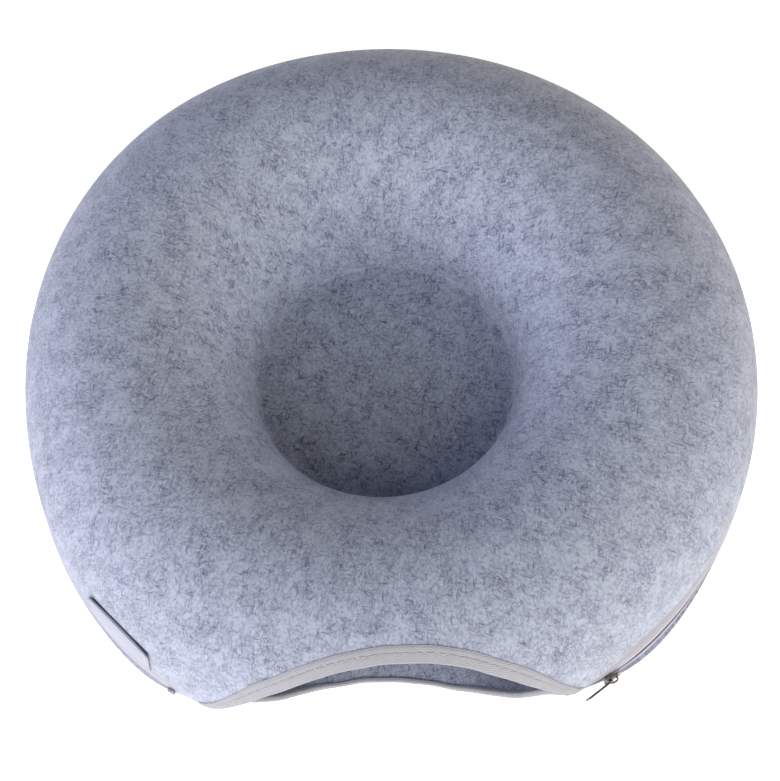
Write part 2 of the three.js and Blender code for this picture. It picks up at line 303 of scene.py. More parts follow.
def linear(code):
    """An sRGB hex colour as linear red, green, blue and alpha."""
    parts = [int(code[i : i + 2], 16) / 255 for i in (0, 2, 4)]
    return [p / 12.92 if p <= 0.04045 else ((p + 0.055) / 1.055) ** 2.4 for p in parts] + [1]


def add(tree, kind, inputs, **settings):
    """Adds a node with its settings. An input is a value, or another node's output to link."""
    node = tree.nodes.new("ShaderNode" + kind)
    for name, value in settings.items():
        setattr(node, name, value)
    for socket, value in inputs.items():
        if isinstance(value, bpy.types.NodeSocket):
            tree.links.new(value, node.inputs[socket])
        else:
            node.inputs[socket].default_value = value
    return node


def new_material(name, **sockets):
    """A material with its shader's constants set, by socket names with _ for a space."""
    material = bpy.data.materials.new(name)
    material.use_nodes = True
    tree = material.node_tree
    shader = tree.nodes["Principled BSDF"]
    for socket, value in sockets.items():
        shader.inputs[socket.replace("_", " ")].default_value = value
    return material, tree, shader


# Sockets of a colour mix: its share, its two colours and its result
SHARE, FIRST, SECOND, MIXED = 0, 6, 7, 2


def cloth_millimetres(tree):
    """Place on the flat cloth, in millimetres."""
    flat = add(tree, "UVMap", {}, uv_map="flat_cloth").outputs["UV"]
    return add(tree, "VectorMath", {0: flat, "Scale": 1 / MM}, operation="SCALE").outputs[0]


# Needle felt of grey polyester: a pale matted ground with darker and lighter fibres lying in every
# direction, gathered in clouds. The press drew the walls out, so the fibres run up them there and
# lie thinner towards the outside.
# Sizes are in millimetres; single fibres are drawn coarser than real ones, which are too fine to show.
FELT_FIBRES = [
    {"turn": 8, "length": 4.9, "width": 0.80, "from": 0.60, "colour": "39456e", "strength": 0.76},
    {"turn": 38, "length": 4.0, "width": 0.72, "from": 0.61, "colour": "46527a", "strength": 0.76},
    {"turn": 69, "length": 4.4, "width": 0.88, "from": 0.61, "colour": "3e4970", "strength": 0.69},
    {"turn": 97, "length": 4.9, "width": 0.80, "from": 0.60, "colour": "3b466c", "strength": 0.76},
    {"turn": 128, "length": 4.0, "width": 0.72, "from": 0.61, "colour": "465378", "strength": 0.76},
    {"turn": 157, "length": 4.4, "width": 0.88, "from": 0.61, "colour": "404c76", "strength": 0.69},
    {"turn": 23, "length": 3.6, "width": 0.72, "from": 0.60, "colour": "dadfee", "strength": 0.47},
    {"turn": 112, "length": 3.6, "width": 0.72, "from": 0.60, "colour": "dadfee", "strength": 0.47},
]
FIBRE_FADE = 0.16
FIBRE_THINNING = {"from": 40, "to": 170, "left": 0.72}
FIBRE_CLOUDING = 0.34
FELT_GROUND = "b5bcd0"
FELT_SHADE = "9198b0"
FELT_BLUSH = "a3a8bb"
FELT_CLOUD = 11
FELT_BLOTCH = 4.4
FELT_GRAIN = 1.2
GRAIN_SHARE = 2.0
FELT_CURL = 7
FELT_CURL_REACH = 1.2


def needle_felt():
    material, tree, shader = new_material(
        "grey_needle_felt",
        Roughness=0.95,
        Specular_IOR_Level=0.2,
        Sheen_Weight=0.3,
        Sheen_Roughness=0.6,
    )
    flat = cloth_millimetres(tree)
    curl = add(tree, "TexNoise", {"Vector": flat, "Scale": 1 / FELT_CURL, "Detail": 1})
    centred = add(
        tree, "VectorMath", {0: curl.outputs["Color"], 1: (0.5, 0.5, 0.5)}, operation="SUBTRACT"
    )
    reach = add(
        tree, "VectorMath", {0: centred.outputs[0], "Scale": 2 * FELT_CURL_REACH}, operation="SCALE"
    )
    bent = add(tree, "VectorMath", {0: flat, 1: reach.outputs[0]}, operation="ADD").outputs[0]
    cloud = add(
        tree, "TexNoise", {"Vector": flat, "Scale": 1 / FELT_CLOUD, "Detail": 3, "Roughness": 0.65}
    ).outputs["Fac"]
    blotch = add(
        tree, "TexNoise", {"Vector": bent, "Scale": 1 / FELT_BLOTCH, "Detail": 2, "Roughness": 0.55}
    ).outputs["Fac"]
    grain = add(
        tree, "TexNoise", {"Vector": bent, "Scale": 1 / FELT_GRAIN, "Detail": 2, "Roughness": 0.6}
    ).outputs["Fac"]
    both = add(tree, "Math", {0: grain, 1: GRAIN_SHARE, 2: blotch}, operation="MULTIPLY_ADD").outputs[0]
    paled = add(tree, "Math", {0: both, 1: cloud}, operation="SUBTRACT").outputs[0]
    middle = GRAIN_SHARE / 2
    shade = add(
        tree, "MapRange", {0: paled, 1: middle - 0.3, 2: middle + 0.3, 3: 0.0, 4: 1.0}
    ).outputs[0]
    ground = {SHARE: shade, FIRST: linear(FELT_SHADE), SECOND: linear(FELT_GROUND)}
    colour = add(tree, "Mix", ground, data_type="RGBA").outputs[MIXED]
    blush = add(tree, "MapRange", {0: cloud, 1: 0.45, 2: 0.65, 3: 0.0, 4: 0.5}).outputs[0]
    clouded = {SHARE: blush, FIRST: colour, SECOND: linear(FELT_BLUSH)}
    colour = add(tree, "Mix", clouded, data_type="RGBA").outputs[MIXED]
    matted = colour
    lean = add(tree, "Math", {0: cloud, 1: FIBRE_CLOUDING}, operation="MULTIPLY").outputs[0]
    height = shade
    for fibre in FELT_FIBRES:
        turned = add(
            tree,
            "VectorRotate",
            {"Vector": bent, "Angle": math.radians(fibre["turn"])},
            rotation_type="Z_AXIS",
        ).outputs[0]
        drawn = add(
            tree,
            "VectorMath",
            {0: turned, 1: (1 / fibre["length"], 1 / fibre["width"], 1.0)},
            operation="MULTIPLY",
        ).outputs[0]
        strand = add(tree, "TexNoise", {"Vector": drawn, "Scale": 1.0, "Detail": 1.5}).outputs["Fac"]
        dense = add(tree, "Math", {0: strand, 1: lean}, operation="ADD").outputs[0]
        least = fibre["from"] + FIBRE_CLOUDING / 2
        here = add(
            tree, "MapRange", {0: dense, 1: least, 2: least + FIBRE_FADE, 3: 0.0, 4: fibre["strength"]}
        ).outputs[0]
        fibred = {SHARE: here, FIRST: colour, SECOND: linear(fibre["colour"])}
        colour = add(tree, "Mix", fibred, data_type="RGBA").outputs[MIXED]
        height = add(tree, "Math", {0: height, 1: here}, operation="ADD").outputs[0]
    outward = add(tree, "VectorMath", {0: flat}, operation="LENGTH").outputs["Value"]
    thin = FIBRE_THINNING
    kept = add(tree, "MapRange", {0: outward, 1: thin["from"], 2: thin["to"], 3: 1.0, 4: thin["left"]})
    thinned = {SHARE: kept.outputs[0], FIRST: matted, SECOND: colour}
    colour = add(tree, "Mix", thinned, data_type="RGBA").outputs[MIXED]
    tree.links.new(colour, shader.inputs["Base Color"])
    bump = add(tree, "Bump", {"Height": height, "Strength": 0.3, "Distance": 0.4 * MM})
    tree.links.new(bump.outputs[0], shader.inputs["Normal"])
    return material


# Cotton twill tape: off-white, matt, with raised diagonal lines
TWILL_PITCH = 1.4
TWILL_SLANT = 27
TWILL_PALE = "b6b6c0"
TWILL_DARK = "a1a1ab"
THREAD_PITCH = 0.5
TWILL_WEAR = 9


def cotton_twill():
    material, tree, shader = new_material("cotton_twill_tape", Roughness=0.9, Sheen_Weight=0.1)
    flat = cloth_millimetres(tree)
    slant = math.radians(TWILL_SLANT)
    across = (-math.sin(slant) / TWILL_PITCH, math.cos(slant) / TWILL_PITCH, 0)
    turns = add(tree, "VectorMath", {0: flat, 1: across}, operation="DOT_PRODUCT").outputs["Value"]
    circle = add(tree, "Math", {0: turns, 1: 2 * math.pi}, operation="MULTIPLY").outputs[0]
    wave = add(tree, "Math", {0: circle}, operation="SINE").outputs[0]
    ridge = add(tree, "MapRange", {0: wave, 1: -1.0, 2: 0.6, 3: 0.0, 4: 1.0}).outputs[0]
    yarn = add(
        tree, "TexNoise", {"Vector": flat, "Scale": 1 / THREAD_PITCH, "Detail": 2}
    ).outputs["Fac"]
    worn = add(tree, "TexNoise", {"Vector": flat, "Scale": 1 / TWILL_WEAR, "Detail": 2}).outputs["Fac"]
    uneven = add(tree, "MapRange", {0: worn, 1: 0.35, 2: 0.65, 3: 0.55, 4: 1.0}).outputs[0]
    level = add(tree, "Math", {0: ridge, 1: uneven}, operation="MULTIPLY").outputs[0]
    fuzz = add(tree, "MapRange", {0: yarn, 1: 0.3, 2: 0.7, 3: -0.2, 4: 0.2}).outputs[0]
    total = add(tree, "Math", {0: level, 1: fuzz}, operation="ADD", use_clamp=True).outputs[0]
    ribbed = {SHARE: total, FIRST: linear(TWILL_DARK), SECOND: linear(TWILL_PALE)}
    colour = add(tree, "Mix", ribbed, data_type="RGBA").outputs[MIXED]
    tree.links.new(colour, shader.inputs["Base Color"])
    bump = add(tree, "Bump", {"Height": total, "Strength": 0.6, "Distance": 0.25 * MM})
    tree.links.new(bump.outputs[0], shader.inputs["Normal"])
    return material


# Woven polyester zip tape: lilac-grey, with fine ribs along its length and a faint gloss
ZIP_RIB = 1.1
ZIP_PICK = 0.7
ZIP_PALE = "c6c4d3"
ZIP_DARK = "aaa8b6"


def woven_zip_tape():
    material, tree, shader = new_material("woven_zip_tape", Roughness=0.7, Sheen_Weight=0.1)
    flat = cloth_millimetres(tree)
    height = add(tree, "SeparateXYZ", {0: flat}).outputs["Y"]
    circle = add(tree, "Math", {0: height, 1: 2 * math.pi / ZIP_RIB}, operation="MULTIPLY").outputs[0]
    wave = add(tree, "Math", {0: circle}, operation="SINE").outputs[0]
    rib = add(tree, "MapRange", {0: wave, 1: -1.0, 2: 1.0, 3: 0.25, 4: 1.0}).outputs[0]
    picks = add(tree, "TexNoise", {"Vector": flat, "Scale": 1 / ZIP_PICK, "Detail": 2}).outputs["Fac"]
    total = add(tree, "Math", {0: rib, 1: picks}, operation="MULTIPLY").outputs[0]
    level = add(tree, "MapRange", {0: total, 1: 0.1, 2: 0.5, 3: 0.0, 4: 1.0}).outputs[0]
    ribbed = {SHARE: level, FIRST: linear(ZIP_DARK), SECOND: linear(ZIP_PALE)}
    colour = add(tree, "Mix", ribbed, data_type="RGBA").outputs[MIXED]
    tree.links.new(colour, shader.inputs["Base Color"])
    bump = add(tree, "Bump", {"Height": level, "Strength": 0.4, "Distance": 0.15 * MM})
    tree.links.new(bump.outputs[0], shader.inputs["Normal"])
    return material


# Moulded nylon: a soft gloss, clouded by dust
NYLON_DUST = 4


def moulded_nylon(name, deep, pale):
    material, tree, shader = new_material(name, Roughness=0.5)
    place = add(tree, "TexCoord", {}).outputs["Object"]
    dust = add(
        tree, "TexNoise", {"Vector": place, "Scale": 1 / (NYLON_DUST * MM), "Detail": 3}
    ).outputs["Fac"]
    level = add(tree, "MapRange", {0: dust, 1: 0.4, 2: 0.7, 3: 0.0, 4: 1.0}).outputs[0]
    dusted = {SHARE: level, FIRST: linear(deep), SECOND: linear(pale)}
    colour = add(tree, "Mix", dusted, data_type="RGBA").outputs[MIXED]
    tree.links.new(colour, shader.inputs["Base Color"])
    return material


# Nickel-plated zinc: a warm grey mirror, clouded by handling
NICKEL_DULL = "8b8580"
NICKEL_BRIGHT = "a7a29e"
NICKEL_CLOUD = 2


def nickel_plate():
    material, tree, shader = new_material("nickel_plated_zinc", Metallic=1.0)
    place = add(tree, "TexCoord", {}).outputs["Object"]
    cloud = add(
        tree, "TexNoise", {"Vector": place, "Scale": 1 / (NICKEL_CLOUD * MM), "Detail": 3}
    ).outputs["Fac"]
    dulled = add(tree, "MapRange", {0: cloud, 1: 0.3, 2: 0.7, 3: 0.22, 4: 0.42}).outputs[0]
    tree.links.new(dulled, shader.inputs["Roughness"])
    tint = add(tree, "MapRange", {0: cloud, 1: 0.35, 2: 0.65, 3: 0.0, 4: 1.0}).outputs[0]
    plated = {SHARE: tint, FIRST: linear(NICKEL_DULL), SECOND: linear(NICKEL_BRIGHT)}
    colour = add(tree, "Mix", plated, data_type="RGBA").outputs[MIXED]
    tree.links.new(colour, shader.inputs["Base Color"])
    return material


# Woven satin label: pale, with fine cross ribs and a dark border woven along its top
LABEL_RIB = 0.8
LABEL_PICK = 0.9
LABEL_BORDER = 3.6
LABEL_GROUND = ("9a9db0", "b0b4c8")
LABEL_EDGE = ("4c4f5e", "6c7082")


def satin_label(height):
    material, tree, shader = new_material("woven_satin_label", Roughness=0.6, Sheen_Weight=0.15)
    flat = cloth_millimetres(tree)
    parts = add(tree, "SeparateXYZ", {0: flat}).outputs
    circle = add(tree, "Math", {0: parts["Y"], 1: 2 * math.pi / LABEL_RIB}, operation="MULTIPLY")
    wave = add(tree, "Math", {0: circle.outputs[0]}, operation="SINE").outputs[0]
    picks = add(tree, "TexNoise", {"Vector": flat, "Scale": 1 / LABEL_PICK, "Detail": 2}).outputs["Fac"]
    rib = add(tree, "MapRange", {0: wave, 1: -1.0, 2: 1.0, 3: 0.3, 4: 1.0}).outputs[0]
    level = add(tree, "Math", {0: rib, 1: picks}, operation="MULTIPLY").outputs[0]
    shade = add(tree, "MapRange", {0: level, 1: 0.1, 2: 0.5, 3: 0.0, 4: 1.0}).outputs[0]
    woven = [
        add(tree, "Mix", {SHARE: shade, FIRST: linear(deep), SECOND: linear(pale)}, data_type="RGBA")
        for deep, pale in (LABEL_GROUND, LABEL_EDGE)
    ]
    start = height / MM - LABEL_BORDER
    edge = add(tree, "MapRange", {0: parts["Y"], 1: start - 0.15, 2: start + 0.15, 3: 0.0, 4: 1.0})
    ground, border = [weave.outputs[MIXED] for weave in woven]
    bordered = {SHARE: edge.outputs[0], FIRST: ground, SECOND: border}
    colour = add(tree, "Mix", bordered, data_type="RGBA").outputs[MIXED]
    tree.links.new(colour, shader.inputs["Base Color"])
    bump = add(tree, "Bump", {"Height": level, "Strength": 0.3, "Distance": 0.12 * MM})
    tree.links.new(bump.outputs[0], shader.inputs["Normal"])
    return material


# Spun sewing thread: pale, its twist drawn as a mottle because it is too fine to show
THREAD_TWIST = 0.6
THREAD_DARK = "8d8b92"
THREAD_PALE = "c6c4c8"


def sewing_thread():
    material, tree, shader = new_material("spun_sewing_thread", Roughness=0.8, Sheen_Weight=0.2)
    place = add(tree, "TexCoord", {}).outputs["Object"]
    twist = add(
        tree, "TexNoise", {"Vector": place, "Scale": 1 / (THREAD_TWIST * MM), "Detail": 1}
    ).outputs["Fac"]
    spun = {SHARE: twist, FIRST: linear(THREAD_DARK), SECOND: linear(THREAD_PALE)}
    colour = add(tree, "Mix", spun, data_type="RGBA").outputs[MIXED]
    tree.links.new(colour, shader.inputs["Base Color"])
    return material


felt = needle_felt()
twill = cotton_twill()
zip_weave = woven_zip_tape()
# The coil's dark colour is partly its own and partly painted shade, standing for the shadow in the zip's
# slit
coil_nylon_and_painted_slit_shade = moulded_nylon("dark_nylon_and_painted_slit_shade", "3f3c46", "5b5762")
stop_nylon = moulded_nylon("pale_moulded_nylon", "8f8d9a", "a9a7b3")
nickel = nickel_plate()
thread = sewing_thread()

# Felt halves

OPENING_COLUMNS = 120
RING_COLUMNS = 300
TUBE_ROWS = 76
INNER_ROWS = 40
TURN_ROWS = 10
FLOOR_ROWS = 14
FLOOR_MIDDLE = 3 * MM
EDGE_ROUNDING = 0.9 * MM
EDGE_ROWS = 5

# How much of its drawn length the felt had before the press, which stretched the walls most
DISH_KEPT = 0.58
WALL_KEPT = 0.38
CROWN_KEPT = 0.55
CROWN_SHARPNESS = 1.5
DRAWN_STEPS = 400

opening_turns = np.radians(np.linspace(-90, 90, OPENING_COLUMNS + 1))
opening_azimuths = OPENING_HALF_WIDTH * np.sin(opening_turns)
ring_azimuths = np.linspace(OPENING_HALF_WIDTH, 360 - OPENING_HALF_WIDTH, RING_COLUMNS + 1)[1:-1]
felt_azimuths = np.concatenate([opening_azimuths, ring_azimuths])


def drawn_radius():
    """Angles on the section, and each one's radius on the flat felt before it was pressed."""
    angles = np.linspace(DISH_ANGLE, 0, DRAWN_STEPS)
    turn = np.radians(angles)
    level = TUBE_RADIUS * np.sin(turn) / np.hypot(TUBE_RADIUS * np.sin(turn), MID * np.cos(turn))
    kept = WALL_KEPT + (CROWN_KEPT - WALL_KEPT) * level**CROWN_SHARPNESS
    steps = arc_per_degree(angles) * kept * abs(angles[1] - angles[0])
    start = DISH_KEPT * (DISH_TURN_END + DISH_TURN_START)
    return angles[::-1], (start + np.cumsum(steps))[::-1]


DRAWN_ANGLES, DRAWN_RADII = drawn_radius()


def dish_rows(half, offset, wall_radius, wall_height):
    """The turn from the wall to the dish's floor, and the floor to near the axis."""
    floor = half * (FELT + DISH_GAP + offset)
    t = np.linspace(0, 1, TURN_ROWS + 1)[None, 1:]
    corner = wall_radius - DISH_TURN_CORNER
    turn_radius = (1 - t) ** 2 * wall_radius + 2 * t * (1 - t) * corner + t**2 * DISH_TURN_END
    turn_height = (1 - t) ** 2 * wall_height + (1 - (1 - t) ** 2) * floor
    turn_drawn = DISH_KEPT * (DISH_TURN_END + DISH_TURN_START * (1 - t)) + 0 * wall_radius
    floor_radius = np.linspace(DISH_TURN_END, FLOOR_MIDDLE, FLOOR_ROWS)[None, 1:] + 0 * wall_radius
    return [
        np.concatenate([turn_radius, floor_radius], axis=1),
        np.concatenate([turn_height, np.full_like(floor_radius, floor)], axis=1),
        np.concatenate([turn_drawn, DISH_KEPT * floor_radius], axis=1),
    ]


def felt_half(half, name, node):
    """One half: the outside from the dish's floor to the edge, round it, and back along the inside."""
    azimuth = felt_azimuths[:, None]
    edge = edge_angle(half, azimuth)
    turn = np.radians(np.linspace(0, 90, EDGE_ROWS))
    round_in = EDGE_ROUNDING * (1 - np.sin(turn)) / arc_per_degree(edge)
    round_out = EDGE_ROUNDING * (1 - np.cos(turn))
    begin = edge + EDGE_ROUNDING / arc_per_degree(edge)
    outer_share = np.linspace(1, 0, TUBE_ROWS)[None, :-1]
    inner_share = np.linspace(0, 1, INNER_ROWS)[None, 1:]
    angles = np.concatenate(
        [
            begin + (DISH_ANGLE - begin) * outer_share,
            edge + round_in,
            edge + round_in[:, ::-1],
            begin + (DISH_ANGLE - begin) * inner_share,
        ],
        axis=1,
    )
    offsets = np.concatenate(
        [np.zeros(TUBE_ROWS - 1), -round_out, round_out[::-1] - FELT, np.full(INNER_ROWS - 1, -FELT)]
    )
    outer_rows = TUBE_ROWS - 1 + EDGE_ROWS
    inner_rows = EDGE_ROWS + INNER_ROWS - 1
    sides = np.repeat([-PRESSED_OUT, PRESSED_IN], [outer_rows, inner_rows])
    bound = 1 - smooth(np.abs(wrapped(azimuth)), *PRESSED_FADE)
    press = sides * bound * pressed((angles - edge) * arc_per_degree(edge))
    radius, height = section_point(half, azimuth, angles, offsets + press)
    drawn = np.interp(angles, DRAWN_ANGLES, DRAWN_RADII)
    outer = dish_rows(half, 0.0, radius[:, :1], height[:, :1])
    inner = dish_rows(half, -FELT, radius[:, -1:], height[:, -1:])
    radius, height, drawn = [
        np.concatenate([before[:, ::-1], tube, after], axis=1)
        for before, tube, after in zip(outer, (radius, height, drawn), inner)
    ]
    around = np.radians(azimuth)
    places = np.stack([drawn * np.sin(around), -half * drawn * np.cos(around)], axis=-1)
    columns, rows = radius.shape
    faces = grid_faces(columns, rows, True, False)
    faces.append([column * rows for column in range(columns)])
    faces.append([column * rows + rows - 1 for column in range(columns)])
    points = placed(azimuth, radius, height).reshape(-1, 3)
    piece = mesh_piece(name, (points, faces), places, felt)
    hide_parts(node)
    return piece


upper_skin = felt_half(UPPER, "upper_felt_skin", "upper_felt")
lower_skin = felt_half(LOWER, "lower_felt_skin", "lower_felt")

# Binding tape folded over the opening's edges

BINDING_WIDTH = 11 * MM
BINDING_INNER_WIDTHS = {UPPER: 8.5 * MM, LOWER: 1.5 * MM}
BINDING_ENDS = {
    UPPER: {"taper": 55 * MM, "corner": 0.5, "end": 0.7},
    LOWER: {"taper": 10 * MM, "corner": 0.9, "end": 0.35},
}
BINDING_OUT = 1.1 * MM
BINDING_HEM = 2.0 * MM
BINDING_HEM_OUT = 0.5 * MM
BINDING_UNDER = 0.2 * MM
BINDING_IN = -4.3 * MM
BINDING_BACK = -5.2 * MM
BINDING_FOLD = 1.5 * MM
BINDING_INNER_FOLD = 0.7 * MM
BINDING_STEP = 0.5 * MM
BINDING_ROWS = {"outer": 30, "fold": 15, "inner": 9, "under": 9}
EDGE_STEPS = 1601
FAN_COLUMNS = 24

# Its surface: the twill stands up where the section lies above a height, and the edge wavers a little
TWILL_RELIEF = 0.10 * MM
TWILL_ABOVE = 0.3 * MM
WAVER = 0.3 * MM
WAVER_LONG = 7 * MM
WAVER_SHORT = 4.3 * MM

# Its stitches, which pull the tape in along their row and most at each prick
STITCH_INWARD = 6.2 * MM
STITCH_PITCH = 6.5 * MM
STITCH_LENGTH = 5.2 * MM
STITCH_THREAD = 0.27 * MM
STITCH_SINK = 0.3 * MM
STITCH_TROUGH = 0.9 * MM
STITCH_PRICK = 6
STITCH_ARCH = 0.42 * MM
STITCH_FLATNESS = 0.6
STITCH_MARGIN = 3 * MM
STITCH_STEPS = 7


def edge_line(half):
    """Places along the opening's edge and the direction across it, which fans out at the two ends."""
    azimuth = OPENING_HALF_WIDTH * np.sin(np.radians(np.linspace(-90, 90, EDGE_STEPS)))
    edge = edge_angle(half, azimuth)
    per_azimuth = math.radians(1) * section_at(half, azimuth, edge)[0]
    per_angle = arc_per_degree(edge)
    run = np.gradient(azimuth) * per_azimuth
    climb = np.gradient(edge) * per_angle
    across = np.degrees(np.arctan2(climb, run)) + 90
    along = np.concatenate([[0], np.cumsum(np.hypot(run, climb)[1:])])
    turn_before = np.linspace(180, across[0], FAN_COLUMNS + 1)[:-1]
    turn_after = np.linspace(across[-1], 0, FAN_COLUMNS + 1)[1:]
    spread = math.radians(1) * BINDING_WIDTH / 2
    return {
        "along": np.concatenate(
            [
                (across[0] - turn_before) * spread,
                along,
                along[-1] + (across[-1] - turn_after) * spread,
            ]
        ),
        "azimuth": np.pad(azimuth, FAN_COLUMNS, mode="edge"),
        "edge": np.pad(edge, FAN_COLUMNS, mode="edge"),
        "across": np.concatenate([turn_before, across, turn_after]),
        "per_azimuth": np.pad(per_azimuth, FAN_COLUMNS, mode="edge"),
        "per_angle": np.pad(per_angle, FAN_COLUMNS, mode="edge"),
    }


def on_binding(half, line, along, inward, offset):
    """A point on the bound edge, by the length along it, the distance into the felt and the height."""
    at = {key: np.interp(along, line["along"], values) for key, values in line.items()}
    turn = np.radians(at["across"])
    azimuth = at["azimuth"] + np.cos(turn) * inward / at["per_azimuth"]
    angle = at["edge"] + np.sin(turn) * inward / at["per_angle"]
    return surface(half, azimuth, angle, offset)


def binding_section(half):
    """The folded tape's section, as distances into the felt and heights off its outside."""
    fold = np.radians(np.linspace(90, 270, BINDING_ROWS["fold"])[1:-1])
    front = BINDING_OUT - PRESSED_OUT
    back = BINDING_BACK + PRESSED_IN
    middle = (front + back) / 2
    under = BINDING_UNDER - PRESSED_OUT
    outer_run = np.linspace(BINDING_WIDTH, 0, BINDING_ROWS["outer"])
    hem = smooth(outer_run, BINDING_WIDTH - BINDING_HEM, BINDING_WIDTH)
    under_run = np.linspace(0, BINDING_WIDTH, BINDING_ROWS["under"])
    inner_run = np.linspace(0, BINDING_INNER_WIDTHS[half], BINDING_ROWS["inner"])
    outer = BINDING_OUT + (BINDING_HEM_OUT - BINDING_OUT) * hem - PRESSED_OUT * pressed(outer_run)
    inner_press = PRESSED_IN * pressed(inner_run)
    rows = [
        [outer_run, outer],
        [BINDING_FOLD * np.cos(fold), middle + (front - middle) * np.sin(fold)],
        [inner_run, BINDING_BACK + inner_press],
        [inner_run[::-1], BINDING_IN + inner_press[::-1]],
        [BINDING_INNER_FOLD * np.cos(fold[::-1]), middle + (under - middle) * np.sin(fold[::-1])],
        [under_run, BINDING_UNDER - PRESSED_OUT * pressed(under_run)],
    ]
    return np.concatenate(rows, axis=1)


def binding_share(half, line, along):
    """Share of the tape's width that shows, as it tapers to the opening's corners and round them."""
    ends = BINDING_ENDS[half]
    first, last = line["along"][[FAN_COLUMNS, -1 - FAN_COLUMNS]]
    places = [line["along"][0], first, first + ends["taper"]]
    places += [last - ends["taper"], last, line["along"][-1]]
    return np.interp(along, places, [ends["end"], ends["corner"], 1, 1, ends["corner"], ends["end"]])


def binding(half, name, node):
    """The tape along one half's edge, with its twill, its waver and the pull of its stitches."""
    line = edge_line(half)
    start, end = line["along"][[0, -1]]
    along = np.linspace(start, end, int((end - start) / BINDING_STEP))[:, None]
    inward, offset = binding_section(half)
    share = binding_share(half, line, along)
    inward = inward[None, :] * share
    offset = offset[None, :]
    outside = offset > TWILL_ABOVE
    slant = math.radians(TWILL_SLANT)
    turns = (inward * math.cos(slant) - along * math.sin(slant)) / (TWILL_PITCH * MM)
    relief = TWILL_RELIEF * np.sin(2 * np.pi * turns)
    trough = np.exp(-(((inward - STITCH_INWARD * share) / STITCH_TROUGH) ** 2))
    pricks = 0.5 + 0.5 * np.cos(2 * np.pi * along / STITCH_PITCH)
    sink = STITCH_SINK * trough * (0.5 + pricks**STITCH_PRICK)
    waver = WAVER * (np.sin(along / WAVER_LONG) + np.sin(along / WAVER_SHORT + 1)) / 2
    raised = offset + np.where(outside, relief - sink, 0)
    points = on_binding(half, line, along, inward + waver, raised)
    places = np.stack(np.broadcast_arrays(along, inward), axis=-1)
    piece = mesh_piece(name, loft(points), places, twill)
    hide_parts(node)
    stitches = binding_stitches(half, line, name + "_stitches")


def thread_tube(path, radius, sides=6):
    """A tube round a path's points, closed at both ends."""
    forward = np.gradient(path, axis=0)
    forward /= np.linalg.norm(forward, axis=1)[:, None]
    side = np.cross(forward, (0.0, 0.0, 1.0))
    side /= np.linalg.norm(side, axis=1)[:, None]
    up = np.cross(side, forward)
    turn = np.linspace(0, 2 * np.pi, sides, endpoint=False)[None, :, None]
    ring = side[:, None] * np.cos(turn) + up[:, None] * np.sin(turn)
    return loft(path[:, None] + radius * ring)


def binding_stitches(half, line, name):
    """A row of stitches, each a short arched thread, from corner to corner of the opening."""
    shells = []
    share = np.linspace(0, 1, STITCH_STEPS)
    first = math.ceil((line["along"][FAN_COLUMNS] + STITCH_MARGIN) / STITCH_PITCH)
    last = math.floor((line["along"][-1 - FAN_COLUMNS] - STITCH_MARGIN) / STITCH_PITCH)
    for stitch in range(first, last):
        middle = (stitch + 0.5) * STITCH_PITCH
        along = middle + (share - 0.5) * STITCH_LENGTH
        inward = STITCH_INWARD * binding_share(half, line, along)
        arch = STITCH_ARCH * np.sin(np.pi * share) ** STITCH_FLATNESS
        height = BINDING_OUT - STITCH_SINK + arch - PRESSED_OUT * pressed(inward)
        path = on_binding(half, line, along, inward, height)
        shells.append(thread_tube(path, STITCH_THREAD))
    return mesh_piece(name, joined(shells), None, thread)


binding(UPPER, "binding_upper_tape", "binding_upper")
binding(LOWER, "binding_lower_tape", "binding_lower")

# Zip tapes, coil, slider, pull and stop

ZIP_TAPE = 1.0 * MM
ZIP_TAPE_TOP = 20 * MM
ZIP_TAPE_NARROW = (31.5, 33.0)
ZIP_NARROW_TOP = 13 * MM
ZIP_FROM = 28.0
ZIP_DEPTH = 0.2 * MM
ZIP_BEHIND = 4.8 * MM
ZIP_SEAM = 11.1 * MM
ZIP_SLIT_HALF = 0.9 * MM
ZIP_PARTED_HALF = 4.5 * MM
ZIP_PARTED_FROM = 36
ZIP_COLUMNS = 420
ZIP_ROWS = {"out": 9, "back": 4}
ZIP_DIVE_FROM = 0.1
COIL_FROM = 36.8
COIL_TO = 330.0
COIL_HALF_WIDTH = 2.2 * MM
COIL_THICK = 1.8 * MM
COIL_PITCH = 1.5 * MM
COIL_STEPS = 4
COIL_WAIST = {"wide": 0.86, "thick": 0.7}
COIL_BEHIND = 1.8 * MM
COIL_FRONT = OUTER_RADIUS - ZIP_DEPTH - COIL_BEHIND
ROUND_POINTS = 12

zip_azimuths = np.linspace(ZIP_FROM, 360 - ZIP_FROM, ZIP_COLUMNS)[:, None]


